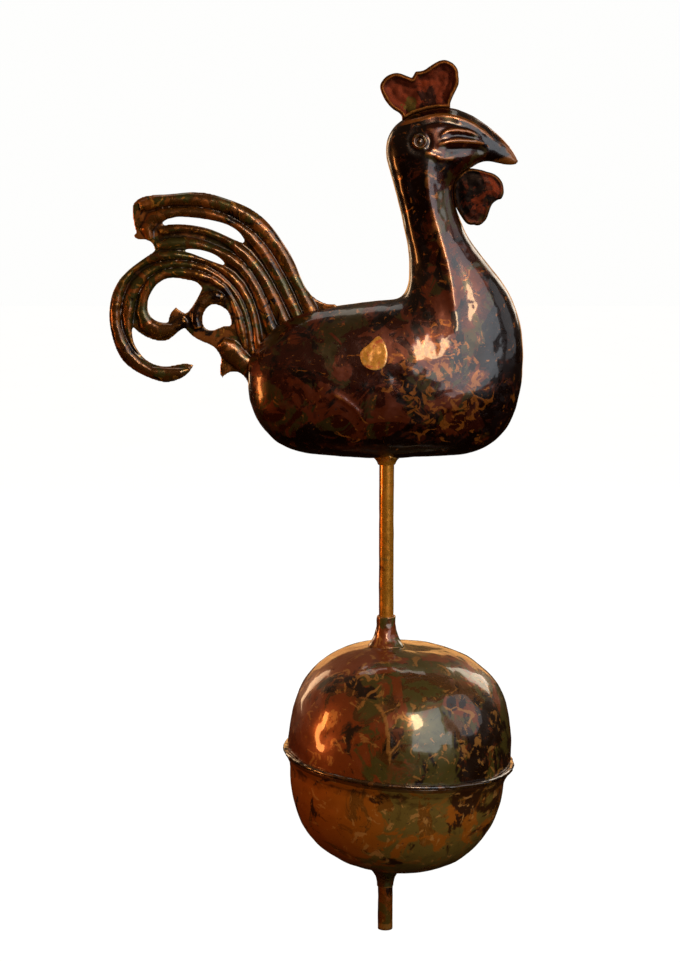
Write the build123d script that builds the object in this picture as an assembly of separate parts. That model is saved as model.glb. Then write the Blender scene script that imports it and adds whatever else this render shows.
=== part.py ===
from build123d import *
import math
import os

# Rooster weather vane, in millimetres.  The origin is the middle of the mast
# stub's lower end, +Z runs up the spindle, +X is the way the beak points.

# ---- spindle and the swivel on it
STUB_R = 7.0
STUB_LENGTH = 42.0
MAST_R = 6.6
SPINDLE_R = 5.2
SHOULDER_Z = 286.0
TIP_Z = 555.0
TUBE_OUT_R = 6.8
TUBE_IN_R = 5.9
TUBE_Z0 = 292.0
TUBE_Z1 = 566.0
BUSH_CLEARANCE = 0.05
BUSH_Z0 = 292.5
BUSH_LENGTH = 22.0
CUP_Z0 = 548.0

# ---- two-part ball, set a little askew on the spindle
BALL_X = 12.0
BALL_Z = 169.3
BALL_TILT = 4.16
DOME_R = 104.2
DOME_RISE = 105.0
DOME_POWER = 2.7
BOWL_R = 101.0
BOWL_DROP = 106.0
BOWL_POWER = 2.55
SHEET = 1.2
LIP_SHEET = 1.0
SEAT_DEPTH = 5.0
LIP_START = 17.0
WIRE_R = 1.9
CORE_R = 8.6
STAY_R = 17.0

# ---- rooster's sheet-metal work
TAIL_SHEET = 1.6
RIB_RISE = 4.2
COMB_THICK = 5.0
WATTLE_THICK = 3.0
WATTLE_GAP = 1.1
PATCH_THICK = 0.8
POWER = 2.3
SECTION_STEPS = 10

# Each body section runs from a point on the back (x, z) to a point on the
# belly, breast or throat (x, z), with its half thickness across the bird and
# the sheet's thickness in that section's plane (0 where the metal is solid).
BODY = [
    ((-126.3, 536), (-126.3, 516), 10, 0),
    ((-122, 546), (-122, 495), 21, 3.0),
    ((-113, 557.5), (-113, 478), 30.5, 1.8),
    ((-99, 571.5), (-99, 464.8), 38, 1.4),
    ((-80, 581.5), (-80, 457.2), 42.5, 1.2),
    ((-57, 587.8), (-57, 453.9), 45, 1.2),
    ((-32, 592), (-32, 452), 46.2, 1.2),
    ((-8, 594.6), (-8, 451.2), 46.5, 1.2),
    ((9, 596.8), (24, 451.6), 46.2, 1.2),
    ((14.5, 600), (54, 453.2), 45, 1.2),
    ((17.3, 604), (84, 458.4), 43, 1.2),
    ((19, 608.5), (107, 475.4), 40.5, 1.2),
    ((20, 613), (119.8, 504.4), 37, 1.2),
    ((20.5, 618.5), (123.8, 539.6), 33.5, 1.2),
    ((20.5, 625), (120.5, 575), 29.8, 1.2),
    ((20, 634), (109, 604), 26.3, 1.2),
    ((18.4, 646), (91, 628.5), 23.4, 1.2),
    ((15.2, 662), (75.5, 648.5), 21.3, 1.2),
    ((10.7, 682), (64.3, 671), 19.9, 1.2),
    ((5.5, 701), (59.6, 690.5), 19.8, 1.2),
    ((0.3, 720), (61, 704), 20.8, 1.2),
    ((-1, 735), (66, 710), 21.5, 1.2),
    ((4.5, 749), (70.3, 713), 21.6, 1.2),
    ((20, 761.3), (74, 714.8), 20.5, 1.2),
    ((41, 767.7), (77.2, 716.2), 18.3, 1.2),
    ((61, 767), (81, 718.6), 15.2, 1.35),
    ((81, 758), (88, 720.8), 10.8, 1.5),
    ((97, 746), (98, 719.8), 7, 0),
    ((110, 733), (108.5, 717.5), 4, 0),
    ((118.3, 721), (116, 717.2), 1.2, 0),
]

COMB = [
    [(8, 752), (12.2, 761.9), (4.4, 767.6), (-3.4, 777.2), (-6.9, 785.9)],
    [(-6.9, 785.9), (-5.4, 791.6), (-0.6, 796.4), (7.2, 799.1), (16, 796.9), (21.8, 794.5)],
    [(21.8, 794.5), (24.7, 800.6)],
    [(24.7, 800.6), (33.4, 802.2), (39.2, 806), (50.8, 810.6), (57.7, 807.9), (63.4, 796)],
    [(63.4, 796), (60.8, 783), (56.2, 771.5), (64, 761)],
    [(64, 761), (50, 755), (28, 750), (8, 752)],
]

WATTLE = [
    [(62, 706), (72, 714), (86.7, 712.4), (100.7, 705.9), (104.9, 696.5), (102.5, 686.9)],
    [(102.5, 686.9), (92.2, 677.1), (89.2, 668.9), (83.5, 663.6), (78, 664)],
    [(78, 664), (73.1, 664.4), (66.5, 671.5), (54, 684)],
    [(54, 684), (52, 696), (62, 706)],
]

PATCH = [
    (-6.9, 566.2), (-1.2, 557), (-0.4, 548.2), (-3.4, 540), (-17.9, 538.1),
    (-24.2, 544.9), (-24.7, 552.2), (-15.3, 561.2),
]

# The tail's sheet: runs of a smooth line, with a corner where two runs meet.
TAIL = [
    [(-230.4, 678), (-228.8, 683.8), (-224.3, 687.6), (-201.4, 691), (-168.4, 693.2),
     (-141.9, 686.1), (-122.6, 677.9), (-106, 663.7), (-93.6, 646.5), (-83.2, 628.5),
     (-74.3, 607.7), (-63.9, 596.6), (-47.3, 592)],
    [(-47.3, 592), (-30, 578)],
    [(-30, 578), (-70, 555), (-100, 525), (-118, 512)],
    [(-118, 512), (-126.2, 516)],
    [(-126.2, 516), (-129.1, 523.9), (-133.7, 528.4), (-139.7, 530), (-146.5, 527.7),
     (-150.1, 524.3)],
    [(-150.1, 524.3), (-152.9, 530.7), (-151.7, 542.2), (-154.7, 548.9), (-160, 553.9),
     (-168.9, 557.7), (-178, 563.4), (-183.9, 569.9)],
    [(-183.9, 569.9), (-191.7, 565.1), (-198.7, 559.4), (-211.9, 559), (-224.8, 565.1),
     (-231.8, 571.2)],
    [(-231.8, 571.2), (-231, 558.1), (-221.6, 543.2), (-202.5, 535.3), (-183.3, 537.9),
     (-176.3, 536.2)],
    [(-176.3, 536.2), (-183.4, 526.9), (-202.6, 520.4), (-218.4, 524.8), (-240, 538.9),
     (-251, 564.2), (-252.5, 588.7), (-245.1, 611.3), (-227.4, 628.6), (-210.9, 640.3)],
    [(-210.9, 640.3), (-213.3, 647.1), (-217.2, 649.7), (-225.4, 650.3), (-230.1, 655.3)],
    [(-230.1, 655.3), (-226.9, 655.8)],
    [(-226.9, 655.8), (-230.2, 671.1), (-230.4, 678)],
]

TAIL_OPENINGS = [
    [[(-204, 663.5), (-201.7, 666.7), (-196, 669.9), (-186.5, 670.8), (-161.1, 668),
      (-142, 662.4), (-131, 652.7), (-129.3, 647.3)],
     [(-129.3, 647.3), (-142.1, 652), (-154.8, 657.9), (-180.2, 663.9), (-204, 663.5)]],
    [[(-188, 640.8), (-180.4, 641.7), (-164.5, 639.8), (-149.3, 631.2), (-146.8, 627.2)],
     [(-146.8, 627.2), (-161.4, 631.9), (-174, 636.9), (-188, 640.8)]],
    [[(-168.5, 606.4), (-173, 611.3), (-182.5, 613.8), (-194.7, 615.6), (-204.2, 613),
      (-212.1, 606), (-216.6, 597.4), (-217.8, 587.8), (-215.1, 580.8), (-209, 576.5),
      (-199.5, 575.4)],
     [(-199.5, 575.4), (-197.7, 582.6), (-192, 589.6)],
     [(-192, 589.6), (-188.9, 586.9), (-183.3, 583.6)],
     [(-183.3, 583.6), (-178.5, 588.3), (-173.9, 595.1), (-168.5, 606.4)]],
    [[(-142.4, 571.7), (-143.1, 580.7), (-145.3, 585.3), (-151.4, 589.8), (-157.4, 591.4),
      (-161.9, 589.8), (-166.1, 584.6), (-167.7, 577.5), (-165.8, 571), (-160.6, 568.3),
      (-153.7, 570.2), (-142.4, 571.7)]],
]

# Raised ribs of the tail feathers: (x, z, width) along each one, tip first.
RIBS = {
    "feather_top": [
        (-222.9, 680.9, 9), (-209.1, 684.5, 11.4), (-195, 686.3, 9.6), (-181, 686.9, 11.1),
        (-167.1, 685.8, 11.7), (-153.7, 683, 11.8), (-140.9, 678.6, 12.4), (-129, 672.5, 12.8),
        (-118.1, 664.8, 13.2), (-108.5, 655.3, 13.3), (-100.1, 644.4, 12.4), (-92.8, 632.4, 12.5),
        (-86.2, 619.8, 11), (-80, 607.1, 9.8), (-74.1, 594.7, 12), (-66, 579, 13),
    ],
    "feather_curled": [
        (-214.5, 650.5, 5), (-217.6, 659.5, 10.4), (-212, 669.2, 11.4), (-202.9, 673.2, 10.6),
        (-188.2, 675.4, 8.2), (-173.2, 675.4, 9), (-158.7, 673.2, 8.6), (-145.2, 668.7, 8),
        (-133.3, 661.8, 7.5), (-123, 652.8, 9.8), (-114.1, 642.1, 10.4), (-106.2, 630.2, 10.8),
        (-99.2, 617.5, 10.8), (-92.7, 604.5, 10.6), (-86.5, 591.7, 10), (-78, 574, 8.5),
    ],
    "feather_upper_mid": [
        (-206, 657.8, 5.2), (-191.5, 660.5, 6.4), (-177.3, 660.3, 5.6), (-163.5, 657.5, 5.4),
        (-150.6, 652.4, 5.6), (-138.7, 645.2, 8.6), (-128.1, 636.1, 9.6), (-119.1, 625.5, 9.7),
        (-111.4, 613.8, 10.3), (-104.9, 601.2, 11.2), (-99.1, 588.2, 11.8), (-90, 567, 11),
    ],
    "feather_lower_mid": [
        (-207.5, 645, 6), (-196, 646.7, 10.2), (-182.3, 647.3, 10.2), (-168.7, 645.6, 8.4),
        (-155.6, 641, 7.4), (-143.5, 634.3, 10), (-133.2, 626.8, 9.2), (-125, 616.6, 8.8),
        (-118.4, 604.4, 9.4), (-113, 591.3, 10.3), (-108.4, 578.1, 11), (-102, 560, 11),
    ],
    "sickle_outer": [
        (-180.8, 532.6, 3.4), (-188.3, 529.7, 8.8), (-202, 527.6, 12.8), (-215.2, 530.4, 9.4),
        (-227, 537.2, 10.4), (-236.6, 547.1, 10.5), (-243.1, 559.3, 10.2), (-246.6, 572.8, 9.8),
        (-247.1, 586.9, 9.7), (-244.6, 600.5, 9), (-239, 612.9, 6.8), (-230.4, 623.2, 4.2),
        (-219.3, 630.8, 4.8), (-206.4, 635.3, 7.6), (-192.4, 636.7, 7.6), (-178.2, 635.1, 5),
        (-164.4, 631.1, 3), (-151.9, 625.1, 5), (-141.1, 617.2, 6.8), (-132.4, 607.4, 6.9),
        (-126, 595.6, 6.8), (-121.6, 582.3, 6.6), (-118.9, 568.4, 6.6), (-117, 541, 6),
    ],
    "sickle_inner": [
        (-224.3, 543.7, 1.6), (-232, 555.2, 2.8), (-236, 568.6, 6.4), (-236.4, 582.9, 10.2),
        (-233.5, 596.9, 10.6), (-227.6, 609.5, 9.2), (-218.7, 619.6, 7.2), (-207.2, 626.1, 6),
        (-193.8, 628.8, 5.8), (-179.6, 628.1, 5.6), (-165.8, 624.2, 4.8), (-153.5, 617.6, 3.6),
        (-143.3, 608.7, 3), (-135.3, 597.7, 4.2), (-129.7, 585.2, 4.2), (-126.1, 571.3, 4.2),
        (-123.6, 553, 3.6), (-122.8, 537, 3),
    ],
    "curl_ring": [
        (-183.8, 577.5, 6), (-194.2, 569.8, 9.2), (-207.8, 567.4, 15), (-218.7, 573.5, 13.6),
        (-223.1, 585.5, 10), (-221, 599.9, 8.6), (-213.6, 612.7, 8), (-202.1, 620.1, 7),
        (-188.2, 621.2, 7.8), (-173.3, 619.3, 7.6), (-159.4, 614.9, 5.8), (-148.2, 607.3, 4.6),
        (-140.5, 596.3, 3.2), (-135.6, 583, 6.6), (-132.2, 568.8, 7.1), (-129.2, 552, 3.6),
    ],
    "small_ring": [
        (-148.3, 598.1, 4.6), (-155.2, 599.5, 9), (-161.6, 598.1, 10.2), (-167.2, 594.5, 10.8),
        (-171.6, 589.3, 9), (-173.9, 583.2, 9.6), (-174.2, 576.8, 9.2), (-172, 570, 8),
    ],
    "feather_bottom": [
        (-150.5, 557.5, 8), (-144.1, 551.8, 17), (-139.4, 547, 18), (-134.7, 542.2, 16),
        (-130, 537.6, 16), (-118, 527, 15),
    ],
}


def half_section(p, q, half):
    """Right-hand half of a rounded outline from p to q, closed along the middle plane."""
    cx, cz = (p[0] + q[0]) / 2, (p[1] + q[1]) / 2
    ux, uz = (p[0] - q[0]) / 2, (p[1] - q[1]) / 2
    points = []
    for k in range(SECTION_STEPS + 1):
        angle = math.pi * k / SECTION_STEPS
        c = math.cos(angle)
        along = math.copysign(abs(c) ** (2 / POWER), c)
        across = math.sin(angle) ** (2 / POWER)
        points.append(Vector(cx + ux * along, -half * across, cz + uz * along))
    return Wire([Edge.make_spline(points), Edge.make_line(points[-1], points[0])])


def body_half(pieces):
    """Loft of half sections, each drawn in by its own last number."""
    wires = []
    for p, q, half, by in pieces:
        length = math.dist(p, q)
        ux, uz = (p[0] - q[0]) / length, (p[1] - q[1]) / length
        a = (p[0] - ux * by, p[1] - uz * by)
        b = (q[0] + ux * by, q[1] + uz * by)
        wires.append(half_section(a, b, half - by))
    return Solid.make_loft(wires)


def grown_body(grow):
    """Right half of the bird's body as one solid, grown outwards by a distance."""
    return body_half([(p, q, half, -grow) for p, q, half, thick in BODY])


def body_hollow():
    """Right half of the room inside the body's sheet."""
    return body_half([piece for piece in BODY if piece[3] > 0])


def both_sides(right):
    return right + right.mirror(Plane.XZ)


def runs_face(runs):
    """Flat face in the bird's middle plane from runs of smooth line."""
    edges = []
    for run in runs:
        points = [Vector(x, 0, z) for x, z in run]
        if len(points) == 2:
            edges.append(Edge.make_line(points[0], points[1]))
        else:
            edges.append(Edge.make_spline(points))
    return Face(Wire(edges))


def plate(face, y0, y1):
    """Solid plate of a middle-plane face between two distances across the bird."""
    return Solid.extrude(face.moved(Location((0, y0, 0))), Vector(0, y1 - y0, 0))


def rod(radius, z0, z1):
    return Pos(0, 0, (z0 + z1) / 2) * Cylinder(radius, z1 - z0)


def tube(outer, inner, z0, z1):
    return rod(outer, z0, z1) - rod(inner, z0 - 1, z1 + 1)


# ---- ball

def ball_place(shape):
    return Pos(BALL_X, 0, BALL_Z) * Rot(0, BALL_TILT, 0) * shape


def arc_points(radius, height, power, z0, z1, steps):
    """(radius, height) points of a superellipse between two heights."""
    points = []
    for k in range(steps + 1):
        z = z0 + (z1 - z0) * math.sin(math.pi / 2 * k / steps)
        r = radius * max(0.0, 1 - abs(z / height) ** power) ** (1 / power)
        points.append((r, z))
    return points


def revolve_curve(points, closing):
    """Revolve a smooth curve closed by straight lines through the closing points."""
    curve = Edge.make_spline([Vector(r, 0, z) for r, z in points])
    corners = [points[-1]] + closing + [points[0]]
    lines = []
    for a, b in zip(corners[:-1], corners[1:]):
        lines.append(Edge.make_line(Vector(a[0], 0, a[1]), Vector(b[0], 0, b[1])))
    return Solid.revolve(Face(Wire([curve] + lines)), 360, Axis.Z)


def dome_solid(inset):
    curve = arc_points(DOME_R - inset, DOME_RISE - inset, DOME_POWER, 0, DOME_RISE - inset, 14)
    return revolve_curve(curve, [(0, -SEAT_DEPTH), (DOME_R - inset, -SEAT_DEPTH)])


def bowl_solid(inset):
    drop = BOWL_DROP - inset
    curve = arc_points(BOWL_R - inset, drop, BOWL_POWER, -LIP_START, -drop, 14)
    edge = DOME_R + LIP_SHEET - inset * LIP_SHEET / SHEET
    lip = [(edge, 0), (edge, -SEAT_DEPTH), (curve[0][0] + 1.4, -SEAT_DEPTH - 5.5)]
    return revolve_curve(curve, [(0, 0)] + lip)


def ball_solid():
    """Everything inside the ball's outer surface."""
    return ball_place(dome_solid(0) + bowl_solid(0))


def ball_hollow():
    return ball_place(dome_solid(SHEET) + bowl_solid(SHEET))


def dome():
    shell = dome_solid(0) - dome_solid(SHEET)
    return ball_place(shell) - rod(CORE_R, 200, 300)


def bowl():
    shell = bowl_solid(0) - bowl_solid(SHEET)
    return ball_place(shell) - rod(CORE_R, 30, 120)


def rim_wire():
    """Rolled wire bead standing round the bowl's lip."""
    edge = DOME_R + LIP_SHEET
    bead = Pos(edge + 0.9, 0, 0.2) * Rot(90, 0, 0) * Circle(WIRE_R)
    ring = revolve(bead, Axis.Z)
    return ball_place(ring - Cylinder(edge, 20))


def collar(profile, sheet):
    """Trumpet-shaped collar from its outer (radius, height) line."""
    outer = [Vector(r, 0, z) for r, z in profile]
    inner = [Vector(r - sheet, 0, z) for r, z in profile]
    edges = [
        Edge.make_spline(outer),
        Edge.make_line(outer[-1], inner[-1]),
        Edge.make_spline(inner[::-1]),
        Edge.make_line(inner[0], outer[0]),
    ]
    return Solid.revolve(Face(Wire(edges)), 360, Axis.Z)


def top_collar():
    line = [(8.6, 303), (9, 296), (10, 288), (12.4, 281), (17, 274.5), (24, 268)]
    return largest(collar(line, 1.2) - ball_solid())


def bottom_collar():
    line = [(7.8, 42), (8.4, 48), (10.4, 53.5), (14.5, 59), (21, 63.6), (30, 68)]
    return largest(collar(line, 1.15) - ball_solid())


def largest(shape):
    return max(shape.solids(), key=lambda s: s.volume)


def core_tube():
    return tube(CORE_R, MAST_R, 59, 276)


def stay(z0, z1):
    """Solder-filled collar that joins the core tube to the sheet of the ball."""
    return largest((rod(STAY_R, z0, z1) & ball_hollow()) - rod(CORE_R, z0 - 5, z1 + 5))


def spindle():
    """Stepped steel rod: stub, stretch through the ball, journal and rounded-off tip."""
    lower = rod(STUB_R, 0, STUB_LENGTH) + rod(MAST_R, STUB_LENGTH - 1, SHOULDER_Z)
    upper = rod(SPINDLE_R, SHOULDER_Z - 1, TIP_Z - 7)
    tip = Pos(0, 0, TIP_Z - 3.5) * Cone(SPINDLE_R, 0.7, 7)
    return lower + upper + tip


def stop_washer():
    return tube(MAST_R, SPINDLE_R, SHOULDER_Z, SHOULDER_Z + 2)


# ---- swivel inside the bird

def pivot_tube():
    return tube(TUBE_OUT_R, TUBE_IN_R, TUBE_Z0, TUBE_Z1)


def lower_bush():
    return tube(TUBE_IN_R, SPINDLE_R + BUSH_CLEARANCE, BUSH_Z0, BUSH_Z0 + BUSH_LENGTH)


def pivot_cup():
    """Steel plug in the head of the tube, hollowed to ride on the spindle's tip."""
    plug = rod(TUBE_IN_R, CUP_Z0, TUBE_Z1)
    mouth = Pos(0, 0, TIP_Z - 3.2) * Cone(SPINDLE_R + 0.5, 1.2, 7.6)
    return plug - mouth - rod(SPINDLE_R + 0.5, CUP_Z0 - 2, TIP_Z - 7)


def brace(width, z0, z1, hollow):
    """Flat strap across the inside of the body, round the pivot tube."""
    bar = Pos(0, -30, (z0 + z1) / 2) * Box(width, 60, z1 - z0)
    return both_sides(largest(bar & hollow)) - rod(TUBE_OUT_R, z0 - 5, z1 + 5)


def belly_collar(body):
    line = [(8, 444.5), (8.6, 446.4), (10.2, 449), (13.5, 451.9), (19, 455)]
    return largest(collar(line, 1.2) - body - body.mirror(Plane.XZ))


# ---- tail

def rib_side(points, body):
    """One half-round rib on the right face of the tail's sheet."""
    face_y = -TAIL_SHEET / 2
    wires = []
    for k, (x, z, width) in enumerate(points):
        before, after = points[max(k - 1, 0)], points[min(k + 1, len(points) - 1)]
        length = math.dist(before[:2], after[:2])
        nx, nz = -(after[1] - before[1]) / length, (after[0] - before[0]) / length
        a = Vector(x + nx * width / 2, face_y, z + nz * width / 2)
        b = Vector(x - nx * width / 2, face_y, z - nz * width / 2)
        rise = min(RIB_RISE, 0.55 * width)
        arc = []
        for step in range(7):
            t = math.pi * step / 6
            c, s = math.cos(t) * width / 2, math.sin(t) * rise
            arc.append(Vector(x + nx * c, face_y - s, z + nz * c))
        wires.append(Wire([Edge.make_spline(arc), Edge.make_line(b, a)]))
    return largest(Solid.make_loft(wires, ruled=True) - body)


def rib_pair(points, body):
    right = rib_side(points, body)
    return Compound([right, right.mirror(Plane.XZ)])


# ---- head and body

def comb(body):
    right = plate(runs_face(COMB), -COMB_THICK / 2, 0) - body
    return both_sides(largest(right))


def wattle(body):
    """Right wattle, hung beside the middle plane."""
    hung = plate(runs_face(WATTLE), -WATTLE_GAP - WATTLE_THICK, -WATTLE_GAP)
    return largest(hung - body)


def eye(body):
    button = Pos(28.4, -18, 738.7) * Rot(90, 0, 0) * Cylinder(7.2, 11)
    pupil = Pos(28.4, -24, 738.7) * Rot(90, 0, 0) * Cylinder(3, 6)
    return largest(button - body - pupil)


def patch(body):
    edge = Edge.make_spline([Vector(x, 0, z) for x, z in PATCH], periodic=True)
    blank = plate(Face(Wire([edge])), -60, -20)
    return largest((grown_body(PATCH_THICK) & blank) - body)


def body_shell(body, hollow, tail):
    """Right half of the body's sheet metal."""
    return largest(body - hollow - tail - rod(TUBE_OUT_R, 430, 480))


def build():
    body = grown_body(0)
    hollow = body_hollow()
    tail = plate(runs_face(TAIL), -TAIL_SHEET / 2, TAIL_SHEET / 2)
    for opening in TAIL_OPENINGS:
        tail = tail - plate(runs_face(opening), -5, 5)
    tail = largest(tail)
    nodes = {
        "spindle": spindle(),
        "stop_washer": stop_washer(),
        "ball_upper_dome": dome(),
        "ball_lower_bowl": bowl(),
        "ball_rim_wire": rim_wire(),
        "ball_top_collar": top_collar(),
        "ball_bottom_collar": bottom_collar(),
        "ball_core_tube": core_tube(),
        "ball_top_stay": stay(262, 290),
        "ball_bottom_stay": stay(50, 76),
        "comb": comb(body),
        "side_patch": patch(body),
        "tail_sheet": tail,
        "pivot_tube": pivot_tube(),
        "pivot_cup": pivot_cup(),
        "lower_bush": lower_bush(),
        "belly_collar": belly_collar(body),
        "upper_brace": brace(28, 554, 556.5, hollow),
        "lower_brace": brace(44, 462, 464.5, hollow),
    }
    pairs = {
        "body_shell": body_shell(body, hollow, tail),
        "wattle": wattle(body),
        "eye": eye(body),
    }
    for name, right in pairs.items():
        nodes[name + "_right"] = right
        nodes[name + "_left"] = right.mirror(Plane.XZ)
    for name, points in RIBS.items():
        nodes[name] = rib_pair(points, body)
    return nodes


os.makedirs("parts", exist_ok=True)
for node, shape in build().items():
    export_step(shape, "parts/" + node + ".step")
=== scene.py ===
# %% [markdown]
# # A copper rooster on its ball
# This lesson dresses an old weather vane: a hollow copper rooster with a
# ribbed tail, turning on a rod above a two-part ball.  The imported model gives
# every piece its true place, so it is loaded first and measured.  Each visible
# surface is then made again with the wear of old beaten copper.

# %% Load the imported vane
import math

import bmesh
import bpy
import numpy as np
from mathutils import Matrix, Vector, noise
from mathutils.bvhtree import BVHTree
from mathutils.kdtree import KDTree


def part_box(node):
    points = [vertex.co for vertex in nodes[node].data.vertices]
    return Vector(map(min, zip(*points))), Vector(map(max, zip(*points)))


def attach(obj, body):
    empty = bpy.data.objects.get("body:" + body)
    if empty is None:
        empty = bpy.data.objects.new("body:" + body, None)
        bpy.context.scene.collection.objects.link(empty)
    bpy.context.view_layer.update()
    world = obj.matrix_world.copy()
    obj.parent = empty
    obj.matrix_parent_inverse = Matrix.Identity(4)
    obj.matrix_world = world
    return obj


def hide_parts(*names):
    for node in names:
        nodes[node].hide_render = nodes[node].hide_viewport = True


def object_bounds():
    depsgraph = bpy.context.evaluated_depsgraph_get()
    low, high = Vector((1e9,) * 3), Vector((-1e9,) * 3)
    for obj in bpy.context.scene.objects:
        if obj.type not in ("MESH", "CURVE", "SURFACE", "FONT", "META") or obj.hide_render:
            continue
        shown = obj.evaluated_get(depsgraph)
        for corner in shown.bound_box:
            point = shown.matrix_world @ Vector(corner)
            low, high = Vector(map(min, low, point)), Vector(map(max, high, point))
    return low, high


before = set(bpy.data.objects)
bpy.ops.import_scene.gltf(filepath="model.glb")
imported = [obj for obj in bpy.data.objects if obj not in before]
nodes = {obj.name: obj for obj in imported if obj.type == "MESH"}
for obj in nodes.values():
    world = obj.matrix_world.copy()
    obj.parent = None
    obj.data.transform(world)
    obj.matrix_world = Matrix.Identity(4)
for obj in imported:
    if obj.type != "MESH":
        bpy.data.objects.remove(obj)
cad_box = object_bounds()
scene = bpy.context.scene
MM = 0.001
low = Vector(cad_box[0])
print("nodes", len(nodes), "box", [tuple(round(c, 4) for c in p) for p in cad_box])

# %% [markdown]
# ## Looking at it
# The vane is seen from its right side, a little from above, from about two
# metres.  A wide lens close by would swell whatever is nearest.  A long lens
# farther off keeps the tall shape from leaning in or out, so that is used.

# %% Camera
VIEW_DROP = math.radians(9.0)
VIEW_DISTANCE = 2.2
AIM_X, AIM_HEIGHT = -0.0428, 0.4291
SENSOR_WIDTH, LENS = 36.0, 89.5
aim = Vector((AIM_X, 0.0, low.z + AIM_HEIGHT))
away = Vector((0, math.cos(VIEW_DROP), -math.sin(VIEW_DROP)))
camera_data = bpy.data.cameras.new("vane_camera")
camera_data.sensor_width = SENSOR_WIDTH
camera_data.lens = LENS
camera = bpy.data.objects.new("vane_camera", camera_data)
camera.location = aim - away * VIEW_DISTANCE
camera.rotation_euler = away.to_track_quat("-Z", "Y").to_euler()
scene.collection.objects.link(camera)
scene.camera = camera
print("camera at", tuple(round(c, 3) for c in camera.location))

# %% [markdown]
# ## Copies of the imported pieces
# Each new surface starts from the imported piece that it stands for, so it has
# the true size and place.  It could be drawn afresh, but then every edge would
# have to be fitted again.  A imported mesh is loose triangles, so its points are
# merged first: only then do neighbouring faces know each other.

# %% Meshes in and out
WELD = 2e-6


def merged(*names):
    """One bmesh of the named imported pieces, with their loose triangles joined."""
    bm = bmesh.new()
    for name in names:
        bm.from_mesh(nodes[name].data)
    bmesh.ops.remove_doubles(bm, verts=bm.verts, dist=WELD)
    return bm


def to_mesh(bm, name):
    mesh = bpy.data.meshes.new(name)
    bm.to_mesh(mesh)
    bm.free()
    return mesh


def new_piece(name, mesh, body, *stands_for):
    """Puts a finished mesh on a body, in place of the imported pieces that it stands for."""
    piece = bpy.data.objects.new(name, mesh)
    scene.collection.objects.link(piece)
    mesh.shade_smooth()
    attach(piece, body)
    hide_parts(*stands_for)
    print(name, len(mesh.vertices), "points")
    return piece


print("copy tools ready")

# %% [markdown]
# ## Skins of small even faces
# Beaten metal has dents of every size, so it needs many small faces.  Cutting
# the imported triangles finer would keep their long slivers.  A voxel remesh
# makes faces of one size instead, and a light smooth takes the steps out.

# %% Voxel skin
SKIN_SMOOTH = 0.5


def modified(mesh, *steps):
    """A copy of the mesh after a row of modifiers, each given as (type, settings)."""
    helper = bpy.data.objects.new("helper", mesh)
    scene.collection.objects.link(helper)
    for kind, settings in steps:
        modifier = helper.modifiers.new(kind, kind)
        for key, value in settings.items():
            setattr(modifier, key, value)
    graph = bpy.context.evaluated_depsgraph_get()
    result = bpy.data.meshes.new_from_object(helper.evaluated_get(graph))
    bpy.data.objects.remove(helper)
    return result


def voxel_skin(mesh, size, smooth):
    """The mesh remade of faces of one size in metres, then smoothed a few times."""
    return modified(
        mesh,
        ("REMESH", {"mode": "VOXEL", "voxel_size": size, "use_smooth_shade": True}),
        ("SMOOTH", {"factor": SKIN_SMOOTH, "iterations": smooth}),
    )


print("skin tools ready")

# %% [markdown]
# ## Points as arrays
# Every press and dent moves points along their normals.  The sculpt brushes
# could do it by hand, but not twice the same way.  Here the coordinates go
# into an array, move together, and are written back in one step.

# %% Read and write points
LUMP_FADE, LUMP_RATIO, LUMP_OCTAVES = 1.0, 2.0, 2


def points_of(mesh):
    co = np.zeros(len(mesh.vertices) * 3)
    mesh.vertices.foreach_get("co", co)
    return co.reshape(-1, 3)


def normals_of(mesh):
    no = np.zeros(len(mesh.vertices) * 3, np.float32)
    mesh.vertices.foreach_get("normal", no)
    return no.reshape(-1, 3).astype(float)


def set_points(mesh, co):
    mesh.vertices.foreach_set("co", np.asarray(co, float).ravel())
    mesh.update()


def lumps(co, size, seed):
    """A soft random value, about -1 to 1, at each point for lumps of one size."""
    shift = Vector((seed * 7.3, seed * 3.1, seed * 5.7))
    return np.array([
        noise.fractal(Vector(p) / size + shift, LUMP_FADE, LUMP_RATIO, LUMP_OCTAVES) for p in co
    ])


def beaten(co, *rows):
    """Lumps in metres.  Each row is a height and a size in millimetres, and a seed."""
    return sum(height * MM * lumps(co, size * MM, seed) for height, size, seed in rows)


print("array tools ready")

# %% [markdown]
# ## The beaten body
# On the real bird two sheets were hammered into hollow halves and soldered
# along the middle.  Both packed halves could be dented one by one, but the
# seam would open.  So a single smooth form is made first: the outer faces of
# the right half are kept, mirrored and joined.

# %% Outer faces of the right half
SEAM_HALF = 0.9 * MM
HOLE_R = 7.4 * MM
HOLE_TOP = 0.47


def is_outer(face):
    """Leaves out the seam edge, the tail's slot and the hole for the rod."""
    if all(abs(v.co.y) < SEAM_HALF for v in face.verts):
        return False
    return not all(math.hypot(v.co.x, v.co.y) < HOLE_R and v.co.z < HOLE_TOP for v in face.verts)


def islands(bm):
    """The faces in groups that hang together."""
    left, found = set(bm.faces), []
    while left:
        stack, island = [left.pop()], []
        while stack:
            face = stack.pop()
            island.append(face)
            near = {f for e in face.edges for f in e.link_faces} & left
            left -= near
            stack.extend(near)
        found.append(island)
    return found


bm = merged("body_shell_right")
bmesh.ops.delete(bm, geom=[f for f in bm.faces if not is_outer(f)], context="FACES")
walls = sorted(islands(bm), key=lambda part: min(v.co.x for f in part for v in f.verts))
bmesh.ops.delete(bm, geom=[f for part in walls[1:] for f in part], context="FACES")
print("walls found", len(walls), "kept faces", len(bm.faces))

# %% [markdown]
# ## One closed form
# The half is mirrored, its small holes are filled, and the whole is turned
# into an even skin that can be pressed and raised like thin metal.

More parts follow.
